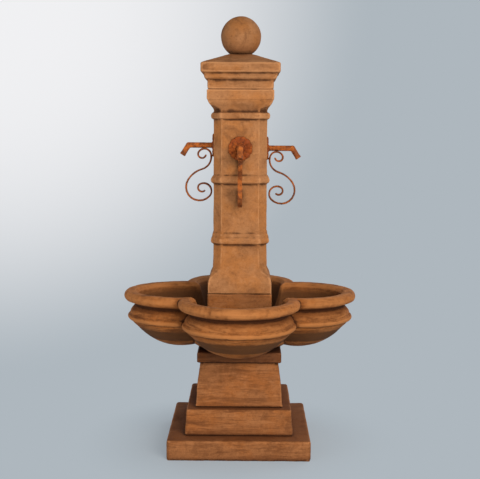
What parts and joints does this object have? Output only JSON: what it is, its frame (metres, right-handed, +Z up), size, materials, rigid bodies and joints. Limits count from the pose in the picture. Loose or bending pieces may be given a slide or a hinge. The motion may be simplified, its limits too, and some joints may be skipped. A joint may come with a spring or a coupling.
{
  "type": "drinking fountain",
  "caption": "Cast-stone courtyard drinking fountain: square column with ball finial and rusted iron spouts, standing in a lobed basin on a stepped pedestal.",
  "frame": {"origin": "on the ground under the middle of the base slab", "axes": "+Z up, -Y towards the viewer in front of the fountain, +X to that viewer's right"},
  "size_m": [0.9996, 0.9996, 1.8305],
  "materials": {
    "cast_stone": "matt, mottled ochre-brown patina",
    "rusted_iron": "rusted, matt",
    "brass": "dull",
    "steel": "satin stainless",
    "rubber": "matt",
    "hose": "satin",
    "grey_plastic": "moulded",
    "black_plastic": "moulded",
    "lever_plastic": "moulded"
  },
  "bodies": {
    "fountain": {"base_slab": "cast_stone", "step_block": "cast_stone", "pedestal": "cast_stone", "pedestal_cap": "cast_stone", "basin": "cast_stone", "riser_block": "cast_stone", "column": "cast_stone", "column_dowels": "steel", "rosette_front": "rusted_iron", "spout_front": "rusted_iron", "scroll_front": "rusted_iron", "rosette_right": "rusted_iron", "spout_right": "rusted_iron", "scroll_right": "rusted_iron", "rosette_back": "rusted_iron", "spout_back": "rusted_iron", "scroll_back": "rusted_iron", "rosette_left": "rusted_iron", "spout_left": "rusted_iron", "scroll_left": "rusted_iron", "spout_washers": "rubber", "spout_locknuts": "brass", "spout_elbows": "brass", "hose_front": "hose", "hose_right": "hose", "hose_back": "hose", "hose_left": "hose", "hose_clamps": "steel", "manifold": "grey_plastic", "riser_hose": "hose", "valve_body_front": "grey_plastic", "valve_body_right": "grey_plastic", "valve_body_back": "grey_plastic", "valve_body_left": "grey_plastic", "pump_housing": "black_plastic", "pump_volute": "black_plastic", "rotor_shaft": "steel", "intake_screen": "black_plastic", "outlet_barb": "black_plastic", "pump_feet": "rubber", "cord_gland": "rubber", "basin_stopper": "rubber"},
    "cap": {"column_cap": "cast_stone", "ball_finial": "cast_stone", "finial_dowel": "steel"},
    "valve_front": {"valve_ball_front": "steel", "valve_lever_front": "lever_plastic"},
    "valve_right": {"valve_ball_right": "steel", "valve_lever_right": "lever_plastic"},
    "valve_back": {"valve_ball_back": "steel", "valve_lever_back": "lever_plastic"},
    "valve_left": {"valve_ball_left": "steel", "valve_lever_left": "lever_plastic"},
    "rotor": {"impeller": "lever_plastic"},
    "flow_knob": {"flow_knob": "lever_plastic"},
    "intake_grille": {"intake_grille": "black_plastic"}
  },
  "joints": [
    {"name": "valve_front_turn", "type": "hinge", "parent": "fountain", "child": "valve_front", "pos_m": [0, -0.03, 1.078], "axis": [0, -1, 0], "range_deg": [0, 90]},
    {"name": "valve_right_turn", "type": "hinge", "parent": "fountain", "child": "valve_right", "pos_m": [0.03, 0, 1.078], "axis": [1, 0, 0], "range_deg": [0, 90]},
    {"name": "valve_back_turn", "type": "hinge", "parent": "fountain", "child": "valve_back", "pos_m": [0, 0.03, 1.078], "axis": [0, 1, 0], "range_deg": [0, 90]},
    {"name": "valve_left_turn", "type": "hinge", "parent": "fountain", "child": "valve_left", "pos_m": [-0.03, 0, 1.078], "axis": [-1, 0, 0], "range_deg": [0, 90]},
    {"name": "cap_lift", "type": "slide", "parent": "fountain", "child": "cap", "axis": [0, 0, 1], "range_m": [0, 0.12]},
    {"name": "rotor_spin", "type": "hinge", "parent": "fountain", "child": "rotor", "pos_m": [0, 0, 0.53], "axis": [0, -1, 0], "continuous": true},
    {"name": "flow_knob_turn", "type": "hinge", "parent": "fountain", "child": "flow_knob", "pos_m": [0, 0, 0.53], "axis": [0, -1, 0], "range_deg": [0, 180]},
    {"name": "grille_pull", "type": "slide", "parent": "fountain", "child": "intake_grille", "axis": [0, 1, 0], "range_m": [0, 0.09]}
  ]
}
